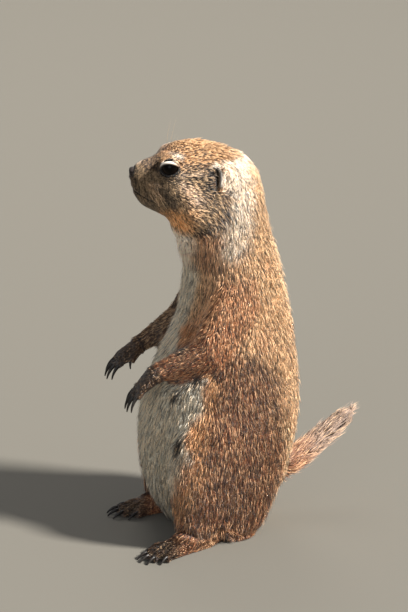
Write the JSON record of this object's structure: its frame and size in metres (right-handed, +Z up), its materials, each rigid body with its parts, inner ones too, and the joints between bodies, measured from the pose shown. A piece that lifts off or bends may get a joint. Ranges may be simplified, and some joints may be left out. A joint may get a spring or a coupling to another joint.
{
  "type": "prairie dog",
  "caption": "Life-size still model of a prairie dog sitting upright on its haunches, head turned, forepaws held out in front.",
  "frame": {"origin": "on the floor, under the middle of the whole animal's box, claws and tail included", "axes": "+Z up, -Y the way the trunk faces, +X the animal's own left side"},
  "size_m": [0.1148, 0.1964, 0.2755],
  "materials": {
    "coat": "dense short fur, cinnamon back and flanks, greyish white belly, grizzled face",
    "claws": "smooth black horn",
    "eyes": "wet, near black",
    "nose": "soft dark skin, slightly moist"
  },
  "bodies": {
    "root": {"ear_left": "coat", "ear_right": "coat", "eye_left": "eyes", "eye_right": "eyes", "fore_claw_left_1": "claws", "fore_claw_left_2": "claws", "fore_claw_left_3": "claws", "fore_claw_left_4": "claws", "fore_claw_left_5": "claws", "fore_claw_right_1": "claws", "fore_claw_right_2": "claws", "fore_claw_right_3": "claws", "fore_claw_right_4": "claws", "fore_claw_right_5": "claws", "forearm_left": "coat", "forearm_right": "coat", "forepaw_left": "coat", "forepaw_right": "coat", "haunch_left": "coat", "haunch_right": "coat", "head": "coat", "hind_claw_left_1": "claws", "hind_claw_left_2": "claws", "hind_claw_left_3": "claws", "hind_claw_left_4": "claws", "hind_claw_left_5": "claws", "hind_claw_right_1": "claws", "hind_claw_right_2": "claws", "hind_claw_right_3": "claws", "hind_claw_right_4": "claws", "hind_claw_right_5": "claws", "hind_foot_left": "coat", "hind_foot_right": "coat", "neck": "coat", "nose": "nose", "tail": "coat", "tail_tip": "coat", "trunk": "coat", "upper_arm_left": "coat", "upper_arm_right": "coat"}
  },
  "joints": []
}
